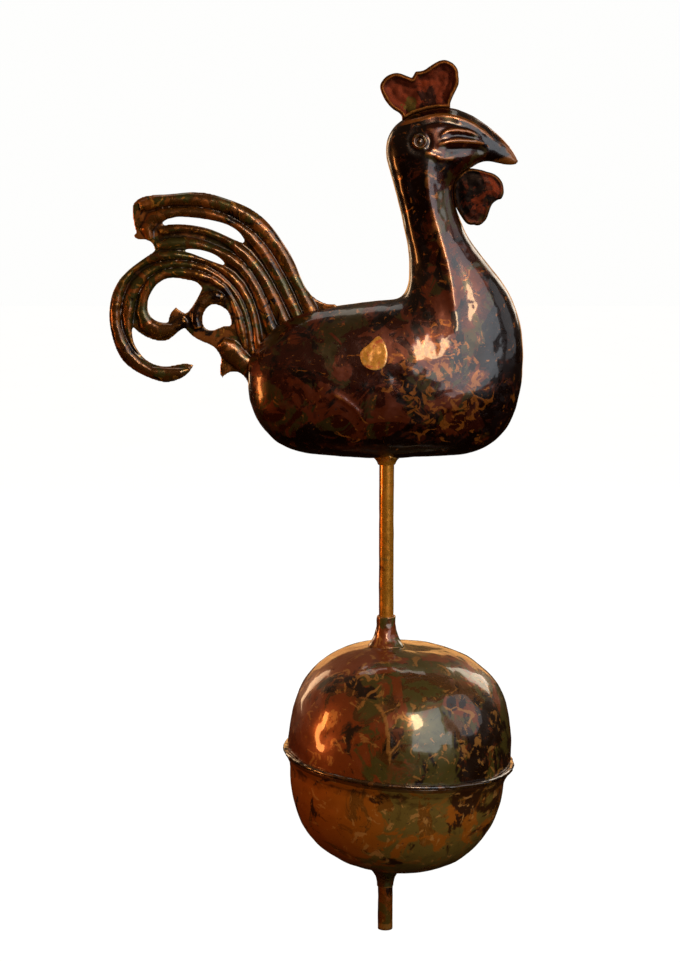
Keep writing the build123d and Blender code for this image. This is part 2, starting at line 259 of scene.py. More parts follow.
# %% Mirror, close and skin
SEAM_MERGE = 0.3 * MM
BODY_VOXEL, BODY_SMOOTH = 1.5 * MM, 8
for v in bm.verts:
    if abs(v.co.y) < SEAM_HALF:
        v.co.y = 0.0
bmesh.ops.mirror(bm, geom=bm.verts[:] + bm.edges[:] + bm.faces[:], matrix=Matrix.Identity(4),
                 merge_dist=SEAM_MERGE, axis="Y")
bmesh.ops.holes_fill(bm, edges=[e for e in bm.edges if e.is_boundary], sides=0)
bmesh.ops.recalc_face_normals(bm, faces=bm.faces)
print("open edges left", sum(e.is_boundary for e in bm.edges))
body_form = voxel_skin(to_mesh(bm, "body_form"), BODY_VOXEL, BODY_SMOOTH)
print("body form", len(body_form.vertices), "points")

# %% [markdown]
# ## Raised and sunk lines
# The maker chased the brow, the nostrils and the long ridge of the neck with
# a punch.  They could be painted as a bump, but then the outline would stay
# flat in raking light.  Each is a drawn line on the side of the bird: points
# near it move out or in, with a soft fall-off on both sides.

# %% How near a point lies to a line
STROKE_TAPER = 1.7


def smooth_line(points, steps=8):
    """More points along a gentle curve through a few, in metres."""
    out, last = [], len(points) - 1
    for i in range(last):
        p0, p1 = np.array(points[max(i - 1, 0)]), np.array(points[i])
        p2, p3 = np.array(points[i + 1]), np.array(points[min(i + 2, last)])
        for t in np.linspace(0, 1, steps, endpoint=False):
            out.append(0.5 * (2 * p1 + (p2 - p0) * t + (2 * p0 - 5 * p1 + 4 * p2 - p3) * t * t
                              + (3 * p1 - p0 - 3 * p2 + p3) * t ** 3))
    return np.array(out + [points[-1]]) * MM


def bump(distance, width):
    """A soft hill, 1 in the middle.  The distance is in metres, the width in millimetres."""
    return np.exp(-(distance / (width * MM)) ** 2)


def stroke(at, line, width):
    """How near points lie to a run of short pieces, 1 on it, fading at its ends."""
    best, along = np.full(len(at), 1e9), np.zeros(len(at))
    for k, (start, end) in enumerate(zip(line[:-1], line[1:])):
        run = end - start
        t = np.clip((at - start) @ run / (run @ run), 0, 1)
        gap = np.linalg.norm(at - start - t[:, None] * run, axis=1)
        along = np.where(gap < best, (k + t) / (len(line) - 1), along)
        best = np.minimum(best, gap)
    return bump(best, width) * np.clip(np.sin(np.pi * along) * STROKE_TAPER, 0, 1)


print("line tools ready")

# %% [markdown]
# ## The table of lines
# Each row has points (x, z) on the bird's side, a width and a height, all in
# millimetres.  A minus sign in front of the height sinks the line.

# %% Chased lines
CHASED = {
    "brow": ([
        (8, 750), (13, 753.3), (20.7, 756.2), (29.3, 758.1), (42.9, 761.4), (57.4, 760.4),
        (72, 755.4), (82.8, 749), (93.5, 740.5), (103.6, 731),
    ], 2.3, 1.5),
    "brow_hollow": ([(20, 750.5), (30, 752.4), (43, 755.8), (57, 754.6), (70, 749.8)], 2.4, -1.1),
    "nostril_upper": ([
        (46, 742.5), (52.6, 747.5), (62.3, 748.8), (74.3, 746.5), (84, 741),
    ], 1.5, 1.3),
    "nostril_slot": ([(55, 743), (64, 744), (78, 741.6)], 1.5, -1.2),
    "nostril_lower": ([
        (43, 735.5), (52.6, 738.2), (61.3, 739.5), (75.5, 738.6), (90.8, 736),
    ], 1.7, 1.4),
    "beak_side": ([(50, 731), (62, 731.5), (75, 731.8), (90, 729)], 3.4, -1.9),
    "gape": ([(42, 726), (50, 723.5), (60, 723.6)], 2.0, 0.7),
    "jaw": ([(30, 731.5), (39.8, 727), (49.5, 722.8)], 2.6, 1.0),
    "neck_ridge": ([
        (32, 734), (34.1, 717), (35.3, 702.5), (38, 686.5), (42.3, 668.2), (47.1, 651.3),
        (52.3, 631.7), (56.7, 611.4), (60.3, 590), (64, 560),
    ], 6.5, 2.0),
    "neck_hollow": ([
        (20, 730), (22, 700), (25, 682), (29, 664), (34, 646), (40, 620),
    ], 6.0, -1.5),
    "tail_root": ([
        (-127, 530), (-124, 542.4), (-114.8, 556), (-102, 569.5), (-88.2, 578), (-74.6, 583.2),
        (-56.4, 587.2), (-38.3, 588.8),
    ], 1.9, 1.2),
    "tail_step": ([
        (-131, 540), (-120, 560), (-106, 575), (-90, 584), (-74, 590), (-55, 594),
    ], 3.2, -1.3),
    "flank_fold": ([(-52, 517), (-40, 510), (-28, 500), (-20, 486)], 2.2, 0.9),
    "breast_dimple": ([(88, 505), (93, 492), (88, 478)], 6.0, -1.7),
}
print("lines drawn", len(CHASED))

# %% [markdown]
# ## Pressing the lines in
# The lines fade out near the middle plane, where the two halves meet.  A round
# trough is sunk as well, for the eye to sit in.

# %% Raise and sink
SEAM_CLEAR, SEAM_FADE = 1.5 * MM, 3 * MM
EYE_AT = np.array([28.4, 738.7]) * MM
TROUGH_R, TROUGH_WIDTH, TROUGH_DEPTH, TROUGH_SIDE = 9 * MM, 2.6, 1.0 * MM, 6 * MM
co, normal = points_of(body_form), normals_of(body_form)
flat, aside = co[:, [0, 2]], np.abs(co[:, 1])
lift = np.zeros(len(co))
for points, width, height in CHASED.values():
    lift += height * MM * stroke(flat, smooth_line(points), width)
lift *= np.clip((aside - SEAM_CLEAR) / SEAM_FADE, 0, 1)
from_eye = np.linalg.norm(flat - EYE_AT, axis=1)
lift -= TROUGH_DEPTH * bump(from_eye - TROUGH_R, TROUGH_WIDTH) * (aside > TROUGH_SIDE)
print("highest line", round(lift.max() / MM, 2), "mm")

# %% [markdown]
# ## Dents, beating and the soldered seam
# Old thin copper is never smooth.  Broad dents come from knocks, small lumps
# from the maker's hammer, and a low bead of solder runs along the middle.  A
# noise texture alone would look like cast metal, so each knock is a round dent
# of its own, at a random place, with a fixed seed.

# %% Dents in the body
rng = np.random.default_rng(41)


def dents(co, normal, count, sizes, depths, box):
    """Round knocks on whichever wall faces a random point.  Ranges are in millimetres."""
    total = np.zeros(len(co))
    for _ in range(count):
        middle = rng.uniform(box[0], box[1])
        nearest = np.argmin(np.linalg.norm(co - middle, axis=1))
        facing = np.clip(normal @ normal[nearest], 0, 1)
        size = rng.uniform(*sizes)
        depth = rng.uniform(*depths) * MM
        total -= depth * bump(np.linalg.norm(co - co[nearest], axis=1), size) * facing
    return total


TORSO_TOP = 0.6
SEAM_BEAD, SEAM_BEAD_WIDTH = 0.5 * MM, 1.5
body_low, body_high = co.min(axis=0), co.max(axis=0)
torso_high = body_high * [1, 1, 0] + [0, 0, TORSO_TOP]
lift += dents(co, normal, 34, (6, 17), (0.3, 1.3), (body_low, torso_high))
lift += dents(co, normal, 14, (4, 9), (0.2, 0.7), (body_low * [0, 1, 1], body_high))
lift += beaten(co, (0.45, 26, 1), (0.16, 8, 2))
lift += SEAM_BEAD * bump(co[:, 1], SEAM_BEAD_WIDTH)
set_points(body_form, co + normal * lift[:, None])
print("body beaten, deepest", round(lift.min() / MM, 2), "mm")

# %% [markdown]
# ## What stands proud and what lies deep
# Hands and wind rub the ridges bright, and the hollows are darkened with dirt
# and painted shade.  The pointiness in Blender's Geometry node could show that,
# but it changes with the size of the faces.  So each point's height above its
# own smoothed surroundings is stored in an attribute called crest, for the
# finishes to read.

# %% Store the crest
def crest_of(mesh, passes, depth):
    """Stores how far each point stands above (1) or below (0) its smoothed surroundings."""
    edges = np.zeros(len(mesh.edges) * 2, np.int64)
    mesh.edges.foreach_get("vertices", edges)
    a, b = edges.reshape(-1, 2).T
    co, count = points_of(mesh), np.bincount(edges, minlength=len(mesh.vertices))[:, None]
    soft = co.copy()
    for _ in range(passes):
        total = np.stack([
            np.bincount(a, soft[b, k], len(co)) + np.bincount(b, soft[a, k], len(co))
            for k in range(3)
        ], axis=1)
        soft = 0.5 * soft + 0.5 * total / np.maximum(count, 1)
    stand = ((co - soft) * normals_of(mesh)).sum(axis=1)
    stand = (stand - np.median(stand)) / depth
    layer = mesh.attributes.new("crest", "FLOAT", "POINT")
    layer.data.foreach_set("value", np.clip(0.5 + 0.5 * stand, 0, 1).astype(np.float32))


crest_of(body_form, 24, 0.9 * MM)
body_tree = BVHTree.FromPolygons([tuple(p) for p in points_of(body_form)],
                                 [tuple(f.vertices) for f in body_form.polygons])
print("crest stored on", len(body_form.vertices), "points")

# %% [markdown]
# ## Two halves again
# The beaten form is cut down the middle, so the bird keeps its two real
# shells.  Each gets its wall with a Solidify modifier, which grows inwards and
# leaves the outer face as it was beaten.

# %% Cut into shells
SHEET = 1.2 * MM


def give_wall(piece):
    wall = piece.modifiers.new("wall", "SOLIDIFY")
    wall.thickness = SHEET
    wall.offset = -1


def body_half(name, side, node):
    bm = bmesh.new()
    bm.from_mesh(body_form)
    bmesh.ops.bisect_plane(bm, geom=bm.verts[:] + bm.edges[:] + bm.faces[:],
                           plane_co=(0, 0, 0), plane_no=(0, side, 0), clear_inner=True)
    shell = new_piece(name, to_mesh(bm, name), "rooster", node)
    give_wall(shell)
    return shell


skin_right = body_half("rooster_skin_right", -1, "body_shell_right")
skin_left = body_half("rooster_skin_left", 1, "body_shell_left")

# %% [markdown]
# ## The tail
# The tail is one flat sheet with long ribs raised along every feather.  Ribs
# laid on the sheet as separate tubes would show a hard corner.  Sheet and ribs
# are skinned together with small voxels instead, so each rib grows out of the
# sheet with a soft root.

# %% Sheet and ribs in one skin
TAIL_NODES = ("tail_sheet", "feather_top", "feather_curled", "feather_upper_mid",
              "feather_lower_mid", "feather_bottom", "sickle_outer", "sickle_inner",
              "curl_ring", "small_ring")
TAIL_VOXEL, TAIL_SMOOTH = 0.95 * MM, 4
FLAT_HALF, RIB_HEIGHT = 0.8 * MM, 3 * MM
FLAT_SHARE = 0.3
tail_form = voxel_skin(to_mesh(merged(*TAIL_NODES), "tail_form"), TAIL_VOXEL, TAIL_SMOOTH)
co, normal = points_of(tail_form), normals_of(tail_form)
ridge = np.clip((np.abs(co[:, 1]) - FLAT_HALF) / RIB_HEIGHT, 0, 1)
co += normal * (beaten(co, (0.35, 15, 5), (0.12, 5, 6)) * (FLAT_SHARE + ridge))[:, None]
print("tail form", len(co), "points")

# %% [markdown]
# ## Where the ribs meet the body
# A rib that stops short of the beaten body leaves a dark gap.  The ends of the
# ribs that lie close to the body are pushed a little way into it.

# %% Push the rib ends in
REACH, PUSH, SLACK, LEAST_RIDGE = 4 * MM, 3 * MM, 1 * MM, 0.05
for k, point in enumerate(co):
    spot, out, _, gap = body_tree.find_nearest(Vector(point), REACH)
    if spot is not None and (Vector(point) - spot).dot(out) > -SLACK and ridge[k] > LEAST_RIDGE:
        co[k] = point - np.array(out) * PUSH * max(0, 1 - gap / REACH)
set_points(tail_form, co)
crest_of(tail_form, 14, 0.7 * MM)
tail = new_piece("tail_skin", tail_form, "rooster", *TAIL_NODES)

# %% [markdown]
# ## Comb and wattles
# These are cut from thicker sheet and dished: the rim stays proud and the
# middle sinks.  An inset of the outline would need clean faces, which a
# skinned shape doesn't have, so the distance of each point from the outline
# decides how far it moves.

# %% Dished plates
SHARP_EDGE = 1.0
RIM_AT, RIM_WIDTH = 2.2 * MM, 1.6
DISH_FROM, DISH_WIDTH = 3 * MM, 6 * MM
PLATE_SMOOTH, PLATE_PASSES, PLATE_DEPTH = 6, 20, 0.6 * MM


def outline_of(bm):
    """Points along the sharp outline of a plate that stands in the middle plane."""
    sharp = [e for e in bm.edges if len(e.link_faces) == 2 and e.calc_face_angle() > SHARP_EDGE]
    return [tuple(e.verts[0].co.lerp(e.verts[1].co, t))
            for e in sharp for t in (0, 0.25, 0.5, 0.75)]


def dished(name, node, size, rim, hollow, seed):
    """A plate with its rim raised and its middle moved by hollow, both in millimetres."""
    bm = merged(node)
    outline = outline_of(bm)
    tree = KDTree(len(outline))
    for k, (x, y, z) in enumerate(outline):
        tree.insert((x, 0, z), k)
    tree.balance()
    form = voxel_skin(to_mesh(bm, name), size, PLATE_SMOOTH)
    co, normal = points_of(form), normals_of(form)
    inset = np.array([tree.find((x, 0, z))[2] for x, y, z in co])
    push = rim * bump(inset - RIM_AT, RIM_WIDTH)
    push += hollow * np.clip((inset - DISH_FROM) / DISH_WIDTH, 0, 1)
    push += beaten(co, (0.35, 11, seed)) / MM
    facing = np.clip(np.abs(normal[:, 1]) * 2 - 0.6, 0, 1)
    co[:, 1] += np.sign(normal[:, 1]) * push * MM * facing
    set_points(form, co + normal * beaten(co, (0.3, 7, seed + 1))[:, None])
    crest_of(form, PLATE_PASSES, PLATE_DEPTH)
    return new_piece(name, form, "rooster", node)


comb = dished("comb_plate", "comb", 0.8 * MM, 0.7, -1.1, 8)
wattle_right = dished("wattle_leaf_right", "wattle_right", 0.7 * MM, 0.5, 0.9, 11)
wattle_left = dished("wattle_leaf_left", "wattle_left", 0.7 * MM, 0.5, 0.9, 14)

# %% [markdown]
# ## The eyes
# Each eye is a small turned ring around a sunk pupil.  A torus and a disc
# would do, but they leave a seam between them.  One profile is spun about an
# axis across the bird instead, and laid against its side.

# %% Spin a profile
def spun(profile, steps, place):
    """A closed shape turned from (radius, height) points in metres, set in place."""
    bm = bmesh.new()
    row = [bm.verts.new((r, 0, h)) for r, h in profile]
    edges = [bm.edges.new(pair) for pair in zip(row[:-1], row[1:])]
    bmesh.ops.spin(bm, geom=row + edges, cent=(0, 0, 0), axis=(0, 0, 1), angle=2 * math.pi,
                   steps=steps, use_merge=True)
    bmesh.ops.remove_doubles(bm, verts=bm.verts, dist=1e-6)
    bmesh.ops.recalc_face_normals(bm, faces=bm.faces)
    bmesh.ops.transform(bm, matrix=place, verts=bm.verts)
    return bm


print("spin tool ready")

# %% [markdown]
# ## Laying the eyes on
# The profile is in millimetres, from the pupil outwards.  The eye is turned
# partly to the slope of the head and partly straight outwards.

# %% Ring and pupil
EYE_PROFILE = [
    (0, 0.9), (1.4, 0.7), (2.4, 0.0), (3.0, -0.4), (3.5, 0.5), (4.3, 1.9), (5.2, 2.5), (6.2, 2.1),
    (7.0, 0.9), (7.3, -0.9), (7.2, -2.4), (0, -2.4),
]
OUTWARD_SHARE = 0.6
OUTSIDE, EYE_STEPS = 0.1, 48


def eye(name, node):
    corner_low, corner_high = (Vector(c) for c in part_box(node))
    middle = (corner_low + corner_high) / 2
    side = -1 if middle.y < 0 else 1
    start = Vector((middle.x, side * OUTSIDE, middle.z))
    spot, out, _, _ = body_tree.ray_cast(start, Vector((0, -side, 0)))
    facing = out.lerp(Vector((0, side, 0)), OUTWARD_SHARE)
    turn = facing.to_track_quat("Z", "Y").to_matrix().to_4x4()
    place = Matrix.Translation(Vector((middle.x, spot.y, middle.z))) @ turn
    form = to_mesh(spun([(r * MM, h * MM) for r, h in EYE_PROFILE], EYE_STEPS, place), name)
    crest_of(form, 4, 0.4 * MM)
    return new_piece(name, form, "rooster", node)


eye_right = eye("eye_ring_right", "eye_right")
eye_left = eye("eye_ring_left", "eye_left")

# %% [markdown]
# ## The ball's leaning axis
# The ball is two spun bowls that sit a little crooked on the mast.  Typing the
# lean in would break if the model changed.  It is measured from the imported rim
# wire: the middle of its points, and the direction in which they spread least.

# %% Find the axis
rim_points = points_of(nodes["ball_rim_wire"].data)
rim_middle = (rim_points.min(axis=0) + rim_points.max(axis=0)) / 2
spread = np.linalg.svd(rim_points - rim_points.mean(axis=0), full_matrices=False)[2]
axis = Vector(spread[2]) * (1 if spread[2][2] > 0 else -1)
ball_turn = axis.to_track_quat("Z", "Y").to_matrix().to_4x4()
ball_place = Matrix.Translation(Vector(rim_middle)) @ ball_turn
ball_inverse = ball_place.inverted()
print("ball axis leans", round(math.degrees(axis.angle(Vector((0, 0, 1)))), 2), "degrees")

# %% [markdown]
# ## Measuring the bowls
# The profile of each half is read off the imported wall, with rays shot at the
# middle of the ball from outside.  Rays that would meet the hole at the pole
# are left out.

# %% Profile from rays
RAY_FROM, POLE_HOLE = 0.3, 6 * MM


def outer_profile(node, angles):
    """(radius, height) points of a round wall, from rays shot at its middle."""
    bm = merged(node)
    bm.transform(ball_inverse)
    tree = BVHTree.FromBMesh(bm)
    bm.free()
    found = []
    for angle in angles:
        ray = Vector((0, -math.cos(angle), math.sin(angle)))
        spot = tree.ray_cast(ray * RAY_FROM, -ray)[0]
        if spot is not None and -spot.y > POLE_HOLE:
            found.append((-spot.y, spot.z))
    return found


def paint_shade_band(mesh, shade_amount):
    """Lowers the stored crest by a painted shade amount, from 0 to 1, so that place is painted
    darker.
    """
    layer = mesh.attributes["crest"]
    crest = np.zeros(len(mesh.vertices), np.float32)
    layer.data.foreach_get("value", crest)
    layer.data.foreach_set("value", (crest * (1 - shade_amount)).astype(np.float32))


print("ray tool ready")

# %% [markdown]
# ## Dome and bowl
# Each half was spun from one disc and has been knocked about since.  A sphere
# scaled flat would miss its square shoulders, so the measured profile is spun.
# It then gets broad dents, a sharp crease where the dome once took a blow,
# hammer marks, and a band of painted shade just under the rim, where the bead's
# shadow falls.

# %% Spin and dent the halves
CREASE = smooth_line([
    (-30, -72, 243), (-23, -76.8, 242.5), (-14, -81.6, 240.9), (-6, -88.2, 234.3),
    (-1.6, -93.6, 225.6), (0.1, -98.7, 212.2), (1, -101.9, 197.5), (1.9, -103.4, 182),
], 6)
SUNK = [
    ((-34, -86, 216), 30, 2.4),
    ((79, -79, 190), 9, 1.2),
    ((98, -58, 183), 8, 1.0),
    ((60, -60, 246), 18, 1.2),
    ((-70, -50, 236), 14, 1.6),
    ((40, 90, 220), 24, 2.0),
    ((88, 30, 236), 14, 1.3),
    ((-60, 72, 215), 18, 1.6),
]
CREASE_HEIGHT, CREASE_WIDTH = 1.3 * MM, 2.4
SHADE_BAND_FROM, SHADE_BAND_TO, SHADE_BAND_FADE = 1.5 * MM, 7 * MM, 2 * MM
BALL_STEPS = 220


def ball_half(name, node, angles, seed):
    profile = outer_profile(node, angles)
    pole = max(profile, key=lambda p: abs(p[1]))
    profile.insert(0 if pole == profile[0] else len(profile), (0.0, pole[1]))
    form = to_mesh(spun(profile, BALL_STEPS, ball_place), name)
    co, normal = points_of(form), normals_of(form)
    if (normal * (co - rim_middle)).sum() < 0:
        form.flip_normals()
        normal = -normal
    push = beaten(co, (0.7, 34, seed), (0.25, 11, seed + 1))
    push += dents(co, normal, 22, (7, 17), (0.2, 0.8), (co.min(axis=0), co.max(axis=0)))
    for middle, size, depth in SUNK:
        push -= depth * MM * bump(np.linalg.norm(co - np.array(middle) * MM, axis=1), size)
    push += CREASE_HEIGHT * stroke(co, CREASE, CREASE_WIDTH)
    set_points(form, co + normal * push[:, None])
    crest_of(form, 16, 0.9 * MM)
    # Painted shade: a dark band just under the rim bead, where its shadow falls.
    drop = -((co - rim_middle) @ np.array(axis))
    below, above = (drop - SHADE_BAND_FROM) / SHADE_BAND_FADE, (SHADE_BAND_TO - drop) / SHADE_BAND_FADE
    paint_shade_band(form, np.clip(below, 0, 1) * np.clip(above, 0, 1))
    half = new_piece(name, form, "mast", node)
    give_wall(half)
    return half


dome_angles = np.radians(np.linspace(-0.5, 89.5, 78))
bowl_angles = np.radians(np.linspace(-89.5, 4.0, 82))
dome = ball_half("ball_dome", "ball_upper_dome", dome_angles, 21)
bowl = ball_half("ball_bowl", "ball_lower_bowl", bowl_angles, 31)

# %% [markdown]
# ## The rim bead
# A wire was soldered over the joint of the two halves.  A torus would be too
# even, so a small round section is spun and pushed up and down a little,
# because solder never lies straight.

# %% Bead around the joint
WIRE_R, BEAD_OUT, BEAD_UP, BEAD_STEPS = 2.0 * MM, 2.5 * MM, 2.2 * MM, 300
rim_low, rim_high = (Vector(c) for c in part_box("ball_rim_wire"))
RIM_R = (rim_high.y - rim_low.y) / 2 - WIRE_R
section = [(RIM_R + BEAD_OUT * math.cos(a), BEAD_UP * math.sin(a))
           for a in np.linspace(0, 2 * math.pi, 15)]
form = to_mesh(spun(section, BEAD_STEPS, ball_place), "ball_rim_bead")
co, normal = points_of(form), normals_of(form)
co += normal * beaten(co, (0.55, 9, 51))[:, None]
co += np.array(axis) * beaten(co, (0.5, 40, 52))[:, None]
set_points(form, co)
crest_of(form, 8, 0.5 * MM)
rim = new_piece("ball_rim_bead", form, "mast", "ball_rim_wire")

# %% [markdown]
# ## Collars and patch
# The collars and the small patch on the bird's side are lumps of solder and
# sheet.  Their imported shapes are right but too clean, so they are skinned and
# roughened with small lumps.

# %% Lumpy copies
def lumpy(name, node, body, size, amount, seed):
    """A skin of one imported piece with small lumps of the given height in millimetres."""
    form = voxel_skin(to_mesh(merged(node), name), size, 3)
    co, normal = points_of(form), normals_of(form)
    set_points(form, co + normal * beaten(co, (amount, 8, seed))[:, None])
    crest_of(form, 14, 0.5 * MM)
    return new_piece(name, form, body, node)


top_collar = lumpy("ball_collar_upper", "ball_top_collar", "mast", 0.7 * MM, 0.5, 61)
bottom_collar = lumpy("ball_collar_lower", "ball_bottom_collar", "mast", 0.7 * MM, 0.5, 62)
belly_collar = lumpy("belly_solder", "belly_collar", "rooster", 0.6 * MM, 0.35, 63)
patch = lumpy("flank_patch", "side_patch", "rooster", 0.5 * MM, 0.35, 64)

# %% [markdown]
# ## The sleeve
# The sleeve is a long drawn tube that turns with the bird.  A remesh would
# blur its bore, so it is spun from its outer and inner radii.  Only the
# outside is made a little uneven: the bore runs on the rod and stays true.

# %% Sleeve
BORE_R, TURNED_STEPS = 5.9 * MM, 40
tube_low, tube_high = (Vector(c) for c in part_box("pivot_tube"))
TUBE_R = (tube_high.x - tube_low.x) / 2
heights = np.linspace(tube_low.z, tube_high.z, 130)
profile = [(TUBE_R, h) for h in heights] + [(BORE_R, h) for h in heights[::-4]]
profile.append((TUBE_R, heights[0]))
form = to_mesh(spun(profile, TURNED_STEPS, Matrix.Identity(4)), "sleeve")
co, normal = points_of(form), normals_of(form)
outside = np.hypot(co[:, 0], co[:, 1]) > (TUBE_R + BORE_R) / 2
set_points(form, co + normal * (outside * beaten(co, (0.22, 16, 71)))[:, None])
crest_of(form, 10, 0.3 * MM)
sleeve = new_piece("sleeve", form, "rooster", "pivot_tube")

# %% [markdown]
# ## The mast and its stub
# One iron rod runs from the stub below the ball to the bearing inside the
# bird.  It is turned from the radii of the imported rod, found with rays, and
# the stub that shows is left a little uneven, as a forged rod is.

# %% Mast
END_GAP, RAY_X = 0.05 * MM, 0.05
STUB_TOP, STUB_FADE, FOOT_FADE = 56 * MM, 8 * MM, 3 * MM
rod_tree = BVHTree.FromBMesh(merged("spindle"))
rod_low, rod_high = (Vector(c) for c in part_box("spindle"))
profile = [(0.0, rod_low.z)]
for h in np.linspace(rod_low.z + END_GAP, rod_high.z - END_GAP, 240):
    spot = rod_tree.ray_cast(Vector((RAY_X, 0, h)), Vector((-1, 0, 0)))[0]
    profile.append((spot.x, h))
profile.append((0.0, rod_high.z))
form = to_mesh(spun(profile, TURNED_STEPS, Matrix.Identity(4)), "mast_rod")
co, normal = points_of(form), normals_of(form)
forged = np.clip((STUB_TOP - co[:, 2]) / STUB_FADE, 0, 1)
forged *= np.clip((co[:, 2] - rod_low.z) / FOOT_FADE, 0, 1)
set_points(form, co + normal * (forged * beaten(co, (0.35, 12, 81)))[:, None])
crest_of(form, 10, 0.4 * MM)
mast_rod = new_piece("mast_rod", form, "mast", "spindle")

# %% [markdown]
# ## Bench tools for finishes
# A finish is a net of shader nodes.  Placing and wiring each node takes many
# lines, so a few short helpers do it: sums, soft steps, clouds of noise,
# blends of two colours, and paint codes.

# %% Node helpers
def add(tree, kind, inputs=None, **settings):
    """A new node with its settings made and its inputs linked or filled in."""
    node = tree.nodes.new(kind)
    for key, value in settings.items():
        setattr(node, key, value)
    for key, value in (inputs or {}).items():
        if isinstance(value, bpy.types.NodeSocket):
            tree.links.new(value, node.inputs[key])
        else:
            node.inputs[key].default_value = value
    return node


def calc(tree, operation, a, b):
    return add(tree, "ShaderNodeMath", {0: a, 1: b}, operation=operation).outputs[0]


def plus(tree, a, b):
    return calc(tree, "ADD", a, b)


def times(tree, a, b):
    return calc(tree, "MULTIPLY", a, b)


def step_up(tree, value, start, end):
    """0 at start, 1 at end, soft between.  The end may be the lower of the two."""
    inputs = {"Value": value, "From Min": start, "From Max": end}
    node = add(tree, "ShaderNodeMapRange", inputs, interpolation_type="SMOOTHSTEP")
    return node.outputs["Result"]


def cloud(tree, vector, scale, detail=4.0, rough=0.55, bend=0.0):
    """Noise from 0 to 1, mostly near the middle."""
    inputs = {"Vector": vector, "Scale": scale, "Detail": detail, "Roughness": rough,
              "Distortion": bend}
    return add(tree, "ShaderNodeTexNoise", inputs).outputs["Fac"]


def blend(tree, factor, under, over):
    inputs = {0: factor, 6: under, 7: over}
    return add(tree, "ShaderNodeMix", inputs, data_type="RGBA").outputs[2]


def tone(code):
    """Linear colour from a hexadecimal paint code."""
    parts = [int(code[i:i + 2], 16) / 255 for i in (0, 2, 4)]
    linear = [c / 12.92 if c < 0.04045 else ((c + 0.055) / 1.055) ** 2.4 for c in parts]
    return tuple(linear) + (1.0,)


print("node tools ready")

# %% [markdown]
# ## One group for old copper
# Every finish here is the same old copper in another state: blotches with
# crisp edges, flecks, pits, worn ridges, and hollows darkened with dirt and
# painted shade.  Copying the nodes into each material would make every change
# a chore, so they are one group with named inputs.

# %% Patina group and its sockets
patina = bpy.data.node_groups.new("old_copper", "ShaderNodeTree")
SOCKETS = [("Vector", "Vector"), ("Size", "Float")]
SOCKETS += [(title, "Color") for title in ("Base", "Dark", "Warm", "Olive", "Bright")]
SOCKETS += [(title + " Amount", "Float") for title in ("Dark", "Warm", "Olive", "Bright")]
SOCKETS += [("Crest", "Float")]
for title, kind in SOCKETS:
    patina.interface.new_socket(title, in_out="INPUT", socket_type="NodeSocket" + kind)
for title, kind in [("Color", "Color"), ("Roughness", "Float"), ("Height", "Float")]:
    patina.interface.new_socket(title, in_out="OUTPUT", socket_type="NodeSocket" + kind)
inlet = patina.nodes.new("NodeGroupInput").outputs
outlet = patina.nodes.new("NodeGroupOutput").inputs
where = inlet["Vector"]
print("sockets", len(SOCKETS), "in, 3 out")

# %% [markdown]
# ## Blotches
# Each amount moves a threshold: the more of a tone, the lower the noise value
# at which it starts.  The edges are kept crisp, because real patina flakes off
# in patches.  Each tone has its own scale, swirl and place in the noise.

# %% Crisp patches
PATCH_DETAIL, PATCH_ROUGH = 8.0, 0.60
LEVEL_NONE, LEVEL_SPAN = 0.70, 0.40
EDGE_BELOW, EDGE_ABOVE = 0.015, 0.02
PATCHES = {
    "Dark": (1.0, 0.9, (3.1, 0.4, 0.0)),
    "Olive": (0.8, 1.3, (0.0, 5.2, 1.1)),
    "Warm": (1.2, 1.1, (7.7, 0.0, 2.4)),
    "Bright": (3.1, 1.6, (1.9, 8.8, 0.0)),
}


def patches(amount, scale, bend, shift):
    """A mask of crisp patches that covers about the given share of the surface."""
    moved = add(patina, "ShaderNodeMapping", {"Vector": where, "Location": shift}).outputs[0]
    size = times(patina, inlet["Size"], scale)
    value = cloud(patina, moved, size, PATCH_DETAIL, PATCH_ROUGH, bend)
    level = calc(patina, "SUBTRACT", LEVEL_NONE, times(patina, amount, LEVEL_SPAN))
    start = calc(patina, "SUBTRACT", level, EDGE_BELOW)
    return step_up(patina, value, start, plus(patina, level, EDGE_ABOVE))


masks = {title: patches(inlet[title + " Amount"], *row) for title, row in PATCHES.items()}
small = cloud(patina, where, times(patina, inlet["Size"], 2.6), 10.0, 0.74, 0.9)
flecks = step_up(patina, cloud(patina, where, 420.0, 3.0, 0.6, 0.8), 0.685, 0.71)
pits = step_up(patina, cloud(patina, where, 300.0, 2.0, 0.5, 0.4), 0.30, 0.27)
# High on ridges that are worn bright, low in hollows that are darkened with dirt and painted
# shade.
wear_and_painted_shade = plus(patina, inlet["Crest"], times(patina, small, 0.35))
print("masks", *masks, "and small, flecks, pits, worn")

# %% [markdown]
# ## Layers of colour
# The layers are laid one over another, like glazes: a mask, its strength and
# its tone.  The last two follow the crest, so ridges are rubbed bright and
# hollows are darkened with dirt and painted shade.

# %% Colour
LAYERS = [
    (masks["Olive"], 1.0, "Olive"),
    (masks["Warm"], 1.0, "Warm"),
    (masks["Dark"], 1.0, "Dark"),
    (step_up(patina, small, 0.56, 0.60), 0.5, "Warm"),
    (step_up(patina, small, 0.42, 0.38), 0.4, "Dark"),
    (masks["Bright"], 0.8, "Bright"),
    (flecks, 0.7, "Bright"),
    (pits, 0.8, "Dark"),
    (step_up(patina, wear_and_painted_shade, 0.83, 0.97), 0.75, "Bright"),
    # Dirt and painted shade in the hollows.
    (step_up(patina, wear_and_painted_shade, 0.56, 0.40), 0.8, "Dark"),
]
color = inlet["Base"]
for mask, strength, title in LAYERS:
    color = blend(patina, times(patina, mask, strength), color, inlet[title])
patina.links.new(color, outlet["Color"])
print("colour layers", len(LAYERS))

